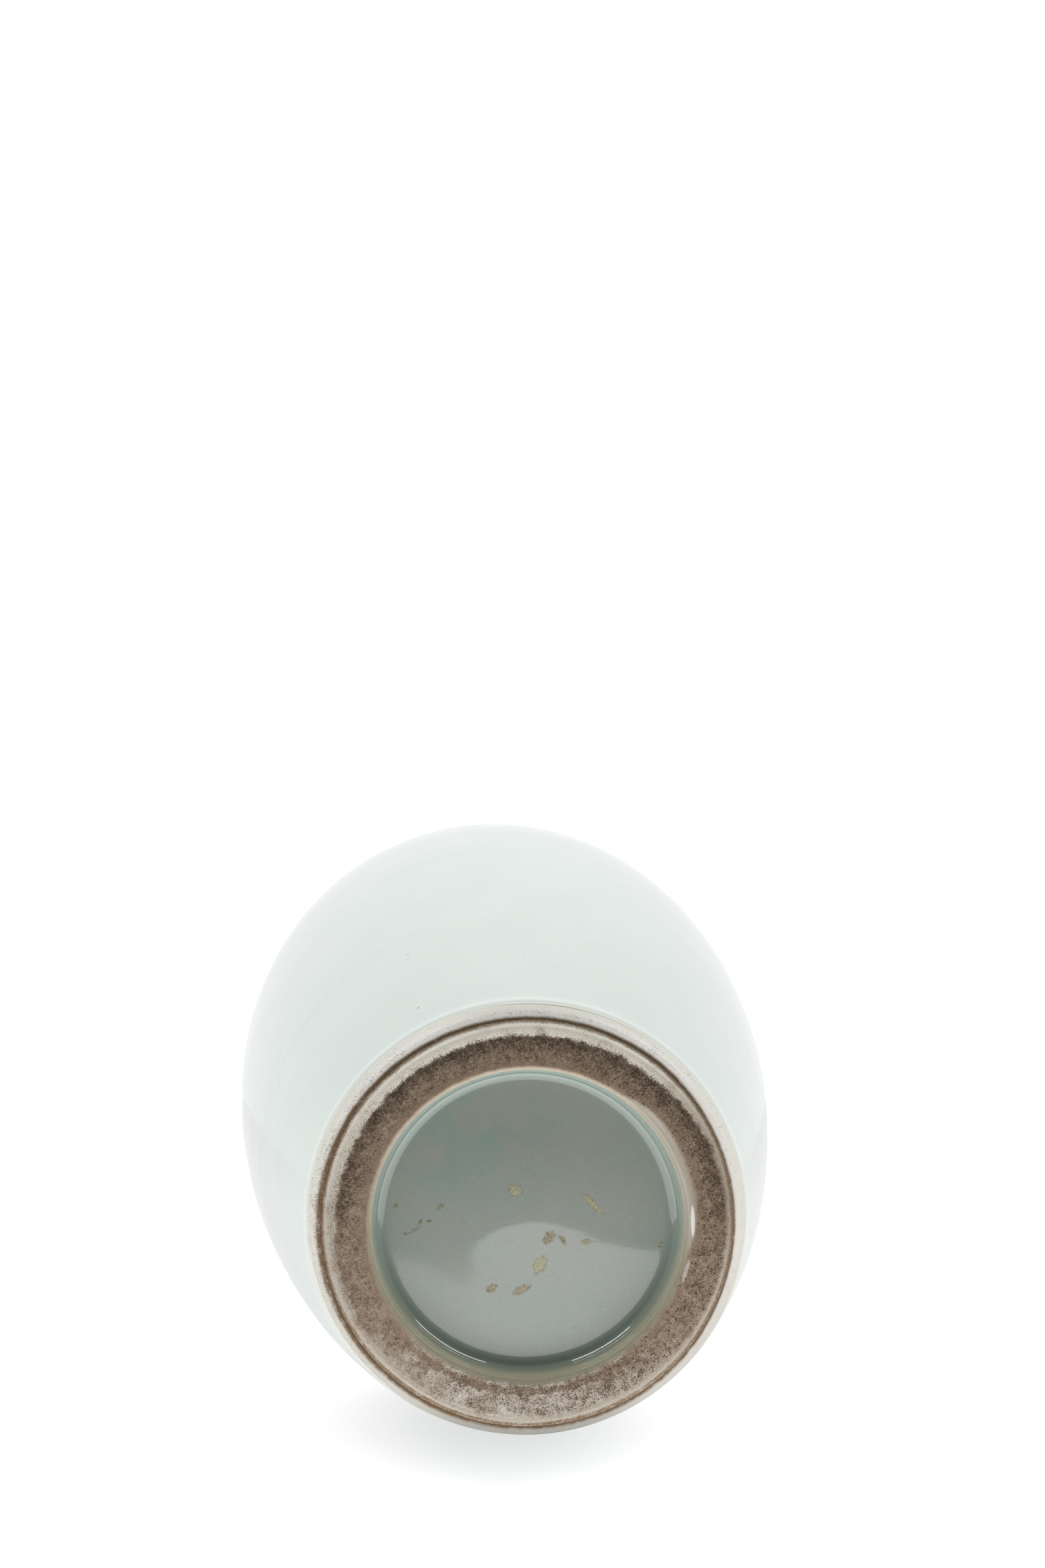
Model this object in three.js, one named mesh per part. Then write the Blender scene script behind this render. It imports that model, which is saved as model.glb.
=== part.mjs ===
// Celadon vase, standing on its foot ring. Millimetres, +Z up, origin at the centre of the ground plane.
//
// The vase is thrown on the wheel in sections. A turned foot ring carries a base disc set in from above
// and the lower body; the upper body and the neck are luted on top with slip. Three coats of glaze cover
// the clay: one outside, one inside and one in the recess under the base. The foot ring stays bare.
// Every piece is a turned form, so each one is an outline in radius and height spun about the axis.

import * as THREE from 'three';

// Foot ring: two bare tiers, given as widths and rises from the glaze edge in to the recess.
const footRadius = 68.0;
const stepWidth = 3.7;
const stepRise = 4.8;
const cornerWidth = 2.9;
const cornerRise = 3.4;
const tierRise = 5.0;
const groundWidth = 11.4;
const innerBevelWidth = 1.0;
const innerBevelRise = 2.5;

// Recess under the base: a short wall, then a cove into a flat floor.
const recessWallRise = 2.5;
const coveWidth = 5.0;
const coveRise = 6.3;

// Base disc: a boss drops into the ring's bore, and a flange lies on the ring.
const bossDepth = 1.4;
const flangeThickness = 7.0;

// Body: one long arc from the foot to the belly, a slower arc above it, then the shoulder.
const bellyRadius = 93.5;
const bellyHeight = 240.0;
const upperArc = 544.0;
const upperRise = 70.0;
const shoulderArc = 62.0;

// Neck and mouth.
const neckRadius = 42.0;
const neckRootArc = 22.0;
const neckLength = 10.0;
const flareArc = 30.0;
const flareLean = THREE.MathUtils.degToRad(50);

// Walls, coats and joins.
const wall = 6.0;
const glaze = 0.6;
const slip = 1.0;
const seatGap = 0.3;

// Facets: sides of every turned form, and steps along each curve of an outline.
const sides = 40;
const bodySteps = 6;
const upperSteps = 2;
const shoulderSteps = 4;
const neckRootSteps = 3;
const flareSteps = 3;
const lipOuterSteps = 4;
const lipInnerSteps = 2;
const footSteps = 3;
const coveSteps = 4;

// Radii and heights that follow from the foot's widths and rises.
const grooveRadius = footRadius - stepWidth;
const groundOuter = grooveRadius - cornerWidth;
const groundInner = groundOuter - groundWidth;
const recessRadius = groundInner - innerBevelWidth;
const floorRadius = recessRadius - coveWidth;
const stepTop = tierRise + stepRise;
const coveStart = innerBevelRise + recessWallRise;
const floorHeight = coveStart + coveRise;
const discBottom = floorHeight + glaze + seatGap;
const ringTop = discBottom + bossDepth;
const discTop = ringTop + flangeThickness;
const bodyBottom = ringTop + slip;

// Depths below the finished outer surface at which the clay and the inner coat begin.
const clayOuter = glaze + seatGap;
const clayInner = clayOuter + wall;
const coatInner = clayInner + seatGap;
const wholeWall = coatInner + glaze;

// The lower arc passes through the glaze's edge at the foot and stands upright at the belly.
const edgeRadius = footRadius + glaze;
const bellyRise = bellyHeight - stepTop;
const bellySwell = bellyRadius - edgeRadius;
const lowerArc = (bellyRise ** 2 + bellySwell ** 2) / (2 * bellySwell);

// Leans are the angles by which the wall tips in from upright where one arc hands over to the next.
const upperLean = Math.asin(upperRise / upperArc);
const upperSwell = upperArc * (1 - Math.cos(upperLean)) + shoulderArc * Math.cos(upperLean);
const shoulderLean = Math.acos(
  (neckRadius - bellyRadius + upperSwell + neckRootArc) / (shoulderArc + neckRootArc));

// Centres of the arcs, each in line with the end of the one before it.
const lowerCentre = new THREE.Vector2(bellyRadius - lowerArc, bellyHeight);
const upperCentre = new THREE.Vector2(bellyRadius - upperArc, bellyHeight);
const shoulderCentre = along(upperCentre, upperArc - shoulderArc, upperLean);
const neckRootCentre = along(shoulderCentre, shoulderArc + neckRootArc, shoulderLean);
const neckBottom = neckRootCentre.y;
const neckTop = neckBottom + slip + neckLength;
const flareCentre = new THREE.Vector2(neckRadius + flareArc, neckTop);
const lipRound = wholeWall / 2;
const lipCentre = along(flareCentre, flareArc + lipRound, Math.PI - flareLean);

// The point at a distance and an angle from another.
function along(from, distance, angle) {
  return new THREE.Vector2(from.x + distance * Math.cos(angle), from.y + distance * Math.sin(angle));
}

// Points of an elliptical arc, both ends included. A circular arc has equal half widths.
function ellipse(centre, halfWidth, halfHeight, start, end, steps) {
  return Array.from({ length: steps + 1 }, (_, step) => {
    const angle = THREE.MathUtils.lerp(start, end, step / steps);
    return new THREE.Vector2(
      centre.x + halfWidth * Math.cos(angle), centre.y + halfHeight * Math.sin(angle));
  });
}

function arc(centre, radius, start, end, steps) {
  return ellipse(centre, radius, radius, start, end, steps);
}

// Lower body surface at a depth below the finished one, between two heights.
function lowerCurve(depth, bottom, top, steps) {
  const radius = lowerArc - depth;
  const start = Math.asin((bottom - bellyHeight) / radius);
  const end = Math.asin((top - bellyHeight) / radius);
  return arc(lowerCentre, radius, start, end, steps);
}

// Upper body surface at a depth, from a height near the belly to the foot of the neck.
function upperCurve(depth, bottom) {
  const radius = upperArc - depth;
  const start = Math.asin((bottom - bellyHeight) / radius);
  return [
    ...arc(upperCentre, radius, start, upperLean, upperSteps),
    ...arc(shoulderCentre, shoulderArc - depth, upperLean, shoulderLean, shoulderSteps).slice(1),
    ...arc(neckRootCentre, neckRootArc + depth, Math.PI + shoulderLean, Math.PI, neckRootSteps).slice(1),
  ];
}

// Neck surface at a depth, from a height on its straight part to the end of the flare.
function neckCurve(depth, bottom) {
  return [
    new THREE.Vector2(neckRadius - depth, bottom),
    ...arc(flareCentre, flareArc + depth, Math.PI, Math.PI - flareLean, flareSteps),
  ];
}

// The rounded lip in two parts, which meet at the crest. Both run from the outside in.
function lipOuterCurve(depth) {
  return arc(lipCentre, lipRound - depth, -flareLean, Math.PI / 2, lipOuterSteps);
}

function lipInnerCurve(depth) {
  return arc(lipCentre, lipRound - depth, Math.PI / 2, Math.PI - flareLean, lipInnerSteps);
}

function point(radius, height) {
  return new THREE.Vector2(radius, height);
}

// Spins an outline, drawn anticlockwise in radius and height, into a closed solid about +Z.
function turned(name, outline, finish) {
  const closed = outline[0].x === 0 ? outline : [...outline, outline[0]];
  const geometry = new THREE.LatheGeometry(closed, sides);
  geometry.rotateX(Math.PI / 2);
  const mesh = new THREE.Mesh(geometry, finish);
  mesh.name = name;
  return mesh;
}

function fired(colour, roughness) {
  return new THREE.MeshStandardMaterial({ color: colour, roughness, metalness: 0 });
}

// Foot ring: ground face, rounded corner, groove, upper tier, seat for the body, bore and cove.
function footRing() {
  const corner = ellipse(point(groundOuter, cornerRise), cornerWidth, cornerRise, -Math.PI / 2, 0, footSteps);
  const stepEdge = stepTop - seatGap;
  const tier = ellipse(
    point(grooveRadius, stepEdge), stepWidth, stepEdge - tierRise, -Math.PI / 2, 0, footSteps);
  const seat = lowerCurve(clayOuter, stepTop, ringTop, 1);
  const cove = ellipse(
    point(floorRadius, coveStart), coveWidth + clayOuter, coveRise + clayOuter, Math.PI / 2, 0, coveSteps);
  return turned('foot_ring', [
    point(groundInner, 0),
    ...corner,
    ...tier,
    ...seat,
    point(floorRadius, ringTop),
    ...cove,
    point(recessRadius + clayOuter, innerBevelRise),
    point(recessRadius, innerBevelRise - seatGap),
  ], fired(0x8d7c6c, 0.85));
}

// Base disc: closes the vase from inside.
function baseDisc() {
  const boss = floorRadius - seatGap;
  const flange = lowerCurve(clayInner, ringTop, bodyBottom, 1)[0].x - seatGap;
  return turned('base_disc', [
    point(0, discBottom),
    point(boss, discBottom),
    point(boss, ringTop),
    point(flange, ringTop),
    point(flange, discTop),
    point(0, discTop),
  ], fired(0xe6e2d8, 0.8));
}

// Layers of slip that bind the sections.
function footSeam() {
  return turned('foot_seam', [
    ...lowerCurve(clayOuter, ringTop, bodyBottom, 1),
    ...lowerCurve(clayInner, ringTop, bodyBottom, 1).reverse(),
  ], fired(0xdcd6ca, 0.85));
}

function bellySeam() {
  const inner = bellyRadius - clayInner;
  const outer = bellyRadius - clayOuter;
  const bottom = bellyHeight - slip / 2;
  const top = bellyHeight + slip / 2;
  return turned('belly_seam', [
    point(inner, bottom),
    point(outer, bottom),
    point(outer, top),
    point(inner, top),
  ], fired(0xdcd6ca, 0.85));
}

function neckSeam() {
  const inner = neckRadius - clayInner;
  const outer = neckRadius - clayOuter;
  return turned('neck_seam', [
    point(inner, neckBottom),
    point(outer, neckBottom),
    point(outer, neckBottom + slip),
    point(inner, neckBottom + slip),
  ], fired(0xdcd6ca, 0.85));
}

// Thrown sections of the body.
function lowerBody() {
  const top = bellyHeight - slip / 2;
  return turned('lower_body', [
    ...lowerCurve(clayOuter, bodyBottom, top, bodySteps),
    ...lowerCurve(clayInner, bodyBottom, top, bodySteps).reverse(),
  ], fired(0xe6e2d8, 0.8));
}

function upperBody() {
  const bottom = bellyHeight + slip / 2;
  return turned('upper_body', [
    ...upperCurve(clayOuter, bottom),
    ...upperCurve(clayInner, bottom).reverse(),
  ], fired(0xe6e2d8, 0.8));
}

function neck() {
  const bottom = neckBottom + slip;
  return turned('neck', [
    ...neckCurve(clayOuter, bottom),
    ...lipOuterCurve(clayOuter).slice(1),
    ...lipInnerCurve(clayOuter).slice(1),
    ...neckCurve(clayInner, bottom).reverse().slice(1),
  ], fired(0xe6e2d8, 0.8));
}

// Outer coat: from the upper tier's edge to the crest of the lip.
function outerGlaze() {
  const surface = (depth) => [
    ...lowerCurve(depth, stepTop, bellyHeight, bodySteps),
    ...upperCurve(depth, bellyHeight).slice(1),
    ...neckCurve(depth, neckTop).slice(1),
    ...lipOuterCurve(depth).slice(1),
  ];
  return turned('outer_glaze', [...surface(0), ...surface(glaze).reverse()], fired(0xd3e2da, 0.12));
}

// Inner coat: over the base disc, up the wall and out to the crest of the lip, where it meets the outer coat.
function innerGlaze() {
  const surface = (depth, floor) => [
    point(0, floor),
    ...lowerCurve(depth, floor, bellyHeight, bodySteps),
    ...upperCurve(depth, bellyHeight).slice(1),
    ...neckCurve(depth, neckTop).slice(1),
    ...lipInnerCurve(wholeWall - depth).reverse().slice(1),
  ];
  const outer = surface(coatInner, discTop + seatGap);
  const inner = surface(wholeWall, discTop + seatGap + glaze);
  return turned('inner_glaze', [...outer, ...inner.reverse()], fired(0xd3e2da, 0.15));
}

// Coat in the recess: bare edge, wall, cove and floor.
function baseGlaze() {
  const surface = (depth) => [
    point(0, floorHeight + depth),
    ...ellipse(
      point(floorRadius, coveStart), coveWidth + depth, coveRise + depth, Math.PI / 2, 0, coveSteps),
    point(recessRadius + depth, innerBevelRise),
  ];
  return turned('base_glaze', [...surface(0), ...surface(glaze).reverse()], fired(0xa9bdb2, 0.1));
}

const vase = new THREE.Group();
vase.name = 'celadon_vase';
vase.add(
  footRing(), baseDisc(), footSeam(), lowerBody(), bellySeam(), upperBody(), neckSeam(), neck(),
  outerGlaze(), innerGlaze(), baseGlaze());

export default vase;
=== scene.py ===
# A tall celadon vase, dressed in the order in which a potter makes it: clay, foot, glaze under the base,
# glaze outside, glaze inside. Metres, +Z up, origin at the middle of the foot's ground face.

import math
from types import SimpleNamespace

import bmesh
import bpy
from mathutils import Matrix, Vector


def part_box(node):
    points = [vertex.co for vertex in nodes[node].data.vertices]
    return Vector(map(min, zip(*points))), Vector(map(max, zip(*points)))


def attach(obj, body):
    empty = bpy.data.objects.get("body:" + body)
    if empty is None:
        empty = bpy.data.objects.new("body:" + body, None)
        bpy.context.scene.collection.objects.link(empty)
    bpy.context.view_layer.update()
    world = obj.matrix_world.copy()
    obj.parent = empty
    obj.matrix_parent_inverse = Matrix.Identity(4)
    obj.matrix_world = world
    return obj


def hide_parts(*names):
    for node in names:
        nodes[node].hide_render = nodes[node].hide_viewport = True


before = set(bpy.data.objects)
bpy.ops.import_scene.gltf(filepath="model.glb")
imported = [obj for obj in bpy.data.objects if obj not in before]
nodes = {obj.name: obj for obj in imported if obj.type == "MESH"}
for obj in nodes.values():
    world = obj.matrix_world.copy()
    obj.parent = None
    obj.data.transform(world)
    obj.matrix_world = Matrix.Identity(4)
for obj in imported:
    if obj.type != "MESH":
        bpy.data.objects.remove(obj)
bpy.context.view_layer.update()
mm = 0.001


# Thrown clay
# The base disc, the two body sections and the neck are thrown white clay, luted together when leather hard.
# The glaze covers all of it, so these pieces keep their own solids and get a matt, finely gritted finish.

def add_node(tree, kind, inputs, **settings):
    """Adds a node with its settings. Each input, by name or number, gets a value or a link from a socket."""
    node = tree.nodes.new(kind)
    for name, value in settings.items():
        setattr(node, name, value)
    for name, value in inputs.items():
        if isinstance(value, bpy.types.NodeSocket):
            tree.links.new(value, node.inputs[name])
        else:
            node.inputs[name].default_value = value
    return node


def output_of(tree, kind, inputs, **settings):
    """The first output of a new node."""
    return add_node(tree, kind, inputs, **settings).outputs[0]


def work_out(tree, operation, *values):
    """One sum on numbers, such as ADD or MAXIMUM."""
    return output_of(tree, "ShaderNodeMath", dict(enumerate(values)), operation=operation)


def times(tree, first, second):
    """The product of two numbers."""
    return work_out(tree, "MULTIPLY", first, second)


def rise(tree, value, low, high):
    """0 below low, 1 above high, and a smooth rise between them."""
    inputs = {"Value": value, "From Min": low, "From Max": high}
    return output_of(tree, "ShaderNodeMapRange", inputs, interpolation_type="SMOOTHSTEP")


def fall(tree, value, low, high):
    """1 below low, 0 above high, and a smooth fall between them."""
    return work_out(tree, "SUBTRACT", 1.0, rise(tree, value, low, high))


def tint(tree, share, first, second):
    """The first colour where share is 0, the second where it is 1. A colour is a socket or three numbers."""
    inputs = {0: share}
    for colour_socket, colour in ((6, first), (7, second)):
        inputs[colour_socket] = colour if isinstance(colour, bpy.types.NodeSocket) else (*colour, 1.0)
    return add_node(tree, "ShaderNodeMix", inputs, data_type="RGBA").outputs[2]


def clouds(tree, place, size, detail=3.0, seed=0.0):
    """Soft noise about 0.5 whose features are about this size in the units of the place."""
    inputs = {"Vector": place, "W": seed, "Scale": 1.0 / size, "Detail": detail, "Roughness": 0.6}
    return output_of(tree, "ShaderNodeTexNoise", inputs, noise_dimensions="4D")


def empty_finish(name):
    """A material and its node tree, with no nodes yet."""
    finish = bpy.data.materials.new(name)
    finish.use_nodes = True
    finish.node_tree.nodes.clear()
    return finish, finish.node_tree


def new_finish(name):
    """A material, its node tree and its one Principled shader."""
    finish, tree = empty_finish(name)
    shader = add_node(tree, "ShaderNodeBsdfPrincipled", {})
    add_node(tree, "ShaderNodeOutputMaterial", {"Surface": shader.outputs[0]})
    return finish, tree, shader


def object_place(tree):
    """The place on a piece: object coordinates, in metres."""
    return add_node(tree, "ShaderNodeTexCoord", {}).outputs["Object"]


def roughen(tree, shader, height, distance, strength):
    """A fine relief on a shader, from a height of about 0 to 1 that stands for this distance."""
    inputs = {"Height": height, "Distance": distance, "Strength": strength}
    tree.links.new(output_of(tree, "ShaderNodeBump", inputs), shader.inputs["Normal"])


def gritty_clay(name, pale, shade):
    """Matt fired clay: two tones in soft patches, with a relief of fine grit."""
    finish, tree, shader = new_finish(name)
    place = object_place(tree)
    patches = clouds(tree, place, size=9.0 * mm)
    grit = clouds(tree, place, size=0.8 * mm, detail=2.0)
    colour = tint(tree, rise(tree, patches, 0.35, 0.65), pale, shade)
    tree.links.new(colour, shader.inputs["Base Color"])
    shader.inputs["Roughness"].default_value = 0.85
    roughen(tree, shader, grit, distance=0.1 * mm, strength=0.5)
    return finish


def dress(finish, *names):
    """Gives a finish to pieces that keep their own solids."""
    for name in names:
        materials = nodes[name].data.materials
        materials.clear()
        materials.append(finish)


white_clay = gritty_clay("white_clay", pale=(0.79, 0.75, 0.68), shade=(0.70, 0.65, 0.57))
dress(white_clay, "base_disc", "lower_body", "upper_body", "neck")


# Joining slip
# Thin layers of liquid clay that bind the foot, the two body sections and the neck, and fire hard with them.
# They end flush with the clay under the glaze.

joining_slip = gritty_clay("joining_slip", pale=(0.71, 0.67, 0.60), shade=(0.62, 0.57, 0.49))
dress(joining_slip, "foot_seam", "belly_seam", "neck_seam")


# Foot ring
# A bare ring of fired clay, turned with a tool when leather hard: a flat ground face, a rounded corner, a
# groove and a second rounded tier up to the glaze. Kiln and use browned the ground and dirtied the groove.

def round_stretch(centre, half_width, half_height, start, end, steps):
    """Points of an ellipse in radius and height, from one angle to another in degrees."""
    points = []
    for step in range(steps + 1):
        angle = math.radians(start + (end - start) * step / steps)
        points.append((centre[0] + half_width * math.cos(angle), centre[1] + half_height * math.sin(angle)))
    return points


def straight_stretch(first, last, steps):
    """Points of a straight line in radius and height, both ends included."""
    points = []
    for step in range(steps + 1):
        share = step / steps
        points.append(tuple(a + (b - a) * share for a, b in zip(first, last)))
    return points


def work_out_vector(tree, operation, *values):
    """One sum on places or directions. A length, a distance or a dot product comes out as a number."""
    outputs = add_node(tree, "ShaderNodeVectorMath", dict(enumerate(values)), operation=operation).outputs
    return outputs["Value"] if operation in ("LENGTH", "DISTANCE", "DOT_PRODUCT") else outputs[0]


def from_axis(tree, place):
    """The distance of a place from the Z axis, and its unit heading from there."""
    flat = work_out_vector(tree, "MULTIPLY", place, (1.0, 1.0, 0.0))
    return work_out_vector(tree, "LENGTH", flat), work_out_vector(tree, "NORMALIZE", flat)


def ring_noise(tree, heading, along, spacing, detail, seed):
    """Noise in rings about the axis: it changes over this spacing along the outline, and slowly round it."""
    step = output_of(tree, "ShaderNodeCombineXYZ", {2: work_out(tree, "DIVIDE", along, spacing)})
    place = work_out_vector(tree, "ADD", heading, step)
    return clouds(tree, place, size=1.0, detail=detail, seed=seed)


hollow_names = ("First", "Second", "Third")


def wheel_tree():
    """Geometry nodes that turn an outline in the XZ plane about the Z axis, as a wheel does.

    Rings and unevenness move the surface along its normal. Hollows press it along +Z round their places."""
    tree = bpy.data.node_groups.new("potters_wheel", "GeometryNodeTree")
    sockets = [("Outline", "Geometry"), ("Sides", "Int"), ("Finish", "Material")]
    for name in ("Ring Height", "Ring Spacing", "Unevenness", "Unevenness Size", "Hollow Reach"):
        sockets.append((name, "Float"))
    for which in hollow_names:
        sockets.append((which + " Depth", "Float"))
        sockets.append((which + " Hollow", "Vector"))
    for name, kind in sockets:
        tree.interface.new_socket(name, in_out="INPUT", socket_type="NodeSocket" + kind)
    tree.interface.new_socket("Piece", in_out="OUTPUT", socket_type="NodeSocketGeometry")
    given = add_node(tree, "NodeGroupInput", {}).outputs
    position = output_of(tree, "GeometryNodeInputPosition", {})
    apart = add_node(tree, "ShaderNodeSeparateXYZ", {0: position}).outputs

    # The outline becomes a section of a sweep round a circle of one metre, so its radius is taken from there.
    wheel_radius = 1.0
    across = work_out(tree, "SUBTRACT", apart[0], wheel_radius)
    down = times(tree, apart[2], -1.0)
    section_place = output_of(tree, "ShaderNodeCombineXYZ", {0: across, 1: down})
    section = output_of(tree, "GeometryNodeMeshToCurve", {"Mesh": given["Outline"]})
    section = output_of(
        tree, "GeometryNodeSetPosition", {"Geometry": section, "Position": section_place})
    circle = output_of(
        tree, "GeometryNodeCurvePrimitiveCircle", {"Resolution": given["Sides"], "Radius": wheel_radius})
    circle = output_of(tree, "GeometryNodeSetCurveNormal", {"Curve": circle}, mode="Z_UP")
    swept = output_of(tree, "GeometryNodeCurveToMesh", {"Curve": circle, "Profile Curve": section})
    weld = 0.002 * mm
    swept = output_of(tree, "GeometryNodeMergeByDistance", {"Geometry": swept, "Distance": weld})

    # Rings follow the wheel, and unevenness doesn't.
    radius, heading = from_axis(tree, position)
    along = work_out(tree, "ADD", radius, apart[2])
    rings = ring_noise(tree, heading, along, given["Ring Spacing"], detail=1.0, seed=2.0)
    rings = times(tree, work_out(tree, "SUBTRACT", rings, 0.5), given["Ring Height"])
    even_place = work_out_vector(tree, "DIVIDE", position, given["Unevenness Size"])
    uneven = work_out(tree, "SUBTRACT", clouds(tree, even_place, size=1.0, detail=1.0, seed=7.0), 0.5)
    uneven = times(tree, uneven, given["Unevenness"])
    normal = output_of(tree, "GeometryNodeInputNormal", {})
    outward = {0: normal, "Scale": work_out(tree, "ADD", rings, uneven)}
    moved = output_of(tree, "ShaderNodeVectorMath", outward, operation="SCALE")
    pressed = 0.0
    for which in hollow_names:
        away = work_out_vector(tree, "DISTANCE", position, given[which + " Hollow"])
        reach = work_out(tree, "POWER", work_out(tree, "DIVIDE", away, given["Hollow Reach"]), 2.0)
        bell = work_out(tree, "EXPONENT", times(tree, reach, -1.0))
        pressed = work_out(tree, "ADD", times(tree, bell, given[which + " Depth"]), pressed)
    pressed = output_of(tree, "ShaderNodeCombineXYZ", {2: pressed})
    offset = work_out_vector(tree, "ADD", moved, pressed)
    shaped = output_of(tree, "GeometryNodeSetPosition", {"Geometry": swept, "Offset": offset})

    # Surfaces shade smoothly, and real edges stay crisp.
    bend = add_node(tree, "GeometryNodeInputMeshEdgeAngle", {}).outputs["Unsigned Angle"]
    crisp_angle = math.radians(40.0)
    crisp = output_of(
        tree, "FunctionNodeCompare", {0: bend, 1: crisp_angle}, data_type="FLOAT", operation="GREATER_THAN")
    shading = {"Geometry": shaped, "Shade Smooth": True}
    smooth = output_of(tree, "GeometryNodeSetShadeSmooth", shading, domain="FACE")
    shading = {"Geometry": smooth, "Selection": crisp, "Shade Smooth": False}
    smooth = output_of(tree, "GeometryNodeSetShadeSmooth", shading, domain="EDGE")
    real = output_of(tree, "GeometryNodeRealizeInstances", {"Geometry": smooth})
    dressed = output_of(tree, "GeometryNodeSetMaterial", {"Geometry": real, "Material": given["Finish"]})
    add_node(tree, "NodeGroupOutput", {0: dressed})
    return tree


wheel = wheel_tree()


def turn(name, outline, finish, sides, **sizes):
    """A piece turned on the wheel. An outline that leaves the axis is closed by a line to its start."""
    last = len(outline) - 1
    edges = [(step, step + 1) for step in range(last)]
    if outline[0][0] > 0.0:
        edges.append((last, 0))
    drawn = bpy.data.meshes.new(name + "_outline")
    drawn.from_pydata([(radius, 0.0, height) for radius, height in outline], edges, [])
    piece = bpy.data.objects.new(name, drawn)
    bpy.context.scene.collection.objects.link(piece)
    turning = piece.modifiers.new("turning", "NODES")
    turning.node_group = wheel
    asked = {
        "Finish": finish, "Sides": sides, "Ring Height": 0.0, "Ring Spacing": 10.0 * mm, "Unevenness": 0.0,
        "Unevenness Size": 30.0 * mm, "Hollow Reach": 10.0 * mm,
    }
    for which in hollow_names:
        asked[which + " Depth"] = 0.0
        asked[which + " Hollow"] = (0.0, 0.0, 0.0)
    asked.update({key.replace("_", " ").title(): value for key, value in sizes.items()})
    for item in wheel.interface.items_tree:
        if item.in_out == "INPUT" and item.name in asked:
            turning[item.identifier] = asked[item.name]
    seen = bpy.context.evaluated_depsgraph_get()
    mesh = bpy.data.meshes.new_from_object(piece.evaluated_get(seen))
    piece.modifiers.remove(turning)
    piece.data = mesh
    mesh.name = name
    bpy.data.meshes.remove(drawn)
    shell = bmesh.new()
    shell.from_mesh(mesh)
    bmesh.ops.recalc_face_normals(shell, faces=shell.faces)
    shell.to_mesh(mesh)
    shell.free()
    return piece


def turned_place(tree):
    """The place on a turned piece: object coordinates, radius, height and the unit heading from the axis."""
    place = object_place(tree)
    height = add_node(tree, "ShaderNodeSeparateXYZ", {0: place}).outputs[2]
    radius, heading = from_axis(tree, place)
    return place, radius, height, heading


def facing(tree, way, side):
    """How far a heading or a place lies towards a side: from 1 to -1 for a heading, in metres for a place."""
    return work_out_vector(tree, "DOT_PRODUCT", way, side)


# The vase lies on one side in its picture. These are the sides that are then lowest, highest, left and right.
up = Vector((0.0, 0.0, 1.0))
lower_side = Vector((1.0, -1.0, 0.0)).normalized()
upper_side = -lower_side
left_side = up.cross(lower_side)
right_side = -left_side

ring_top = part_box("foot_ring")[1].z
foot_radius = 68.0 * mm
step_width = 3.7 * mm
corner_width = 2.9 * mm
corner_rise = 3.4 * mm
tier_rise = 5.0 * mm
ground_width = 11.4 * mm
bevel_width = 1.0 * mm
bevel_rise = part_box("base_glaze")[0].z
step_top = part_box("outer_glaze")[0].z
groove_radius = foot_radius - step_width
groove_depth = 0.75 * mm
ground_outer = groove_radius - corner_width
ground_inner = ground_outer - ground_width
recess_radius = ground_inner - bevel_width

# The glaze is this thick and stands this far off the clay. The tier runs on a little way under its edge.
coat = 0.6 * mm
seat_gap = 0.3 * mm
clay_depth = coat + seat_gap
tier_tuck = 0.8 * mm
seat_inset = 0.4 * mm


def foot_outline():
    """The ring from its inner edge over the ground, corner, groove and tier, and round its back."""
    worn = 0.7 * mm
    worn_bevel = 0.25 * mm
    tuck_across = 0.2 * mm
    tuck_up = 0.1 * mm
    bevel_start = (recess_radius + tuck_across, bevel_rise + tuck_up)
    bevel = straight_stretch(bevel_start, (ground_inner - worn_bevel, worn), steps=4)
    inner_edge = round_stretch((ground_inner + worn, worn), worn, worn, 200.0, 270.0, steps=4)
    ground = straight_stretch((ground_inner + worn, 0.0), (ground_outer, 0.0), steps=20)[1:]
    corner = round_stretch((ground_outer, corner_rise), corner_width, corner_rise, -90.0, 0.0, steps=14)[1:]
    riser_end = (groove_radius, tier_rise - groove_depth)
    riser = straight_stretch((groove_radius, corner_rise), riser_end, steps=3)[1:]
    groove_middle = (groove_radius, tier_rise)
    groove = round_stretch(groove_middle, groove_depth, groove_depth, 270.0, 90.0, steps=10)[1:]
    tier_bottom = tier_rise + groove_depth
    tier_bulge = 0.25 * mm
    tier_steps = 18
    tier = []
    for step in range(1, tier_steps + 1):
        share = step / tier_steps
        bulge = tier_bulge * math.sin(math.pi * share)
        radius = groove_radius + (step_width + tier_tuck) * share + bulge
        tier.append((radius, tier_bottom + (step_top - tier_bottom) * share - bulge))
    ring_back = recess_radius + clay_depth
    seat_radius = foot_radius - seat_inset
    back = [
        (foot_radius, step_top + seat_gap),
        (seat_radius, step_top + 2 * seat_gap),
        (seat_radius, ring_top),
        (ring_back, ring_top),
        (ring_back, bevel_rise),
    ]
    return bevel + inner_edge + ground + corner + riser + groove + tier + back


def mixed(tree, *parts):
    """The sum of some values, each given with its weight."""
    total = 0.0
    for value, weight in parts:
        total = work_out(tree, "ADD", times(tree, value, weight), total)
    return total


def swing(tree, place, size, detail=3.0, seed=0.0):
    """Soft noise about 0."""
    return work_out(tree, "SUBTRACT", clouds(tree, place, size, detail, seed), 0.5)


def off_oval(tree, place, centre, long_way, short_way):
    """0 in the middle of an oval and 1 at its edge. Each way is a unit vector over half the oval's size."""
    from_centre = work_out_vector(tree, "SUBTRACT", place, centre)
    one_way = facing(tree, from_centre, long_way)
    other_way = facing(tree, from_centre, short_way)
    return work_out(tree, "ADD", times(tree, one_way, one_way), times(tree, other_way, other_way))


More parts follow.
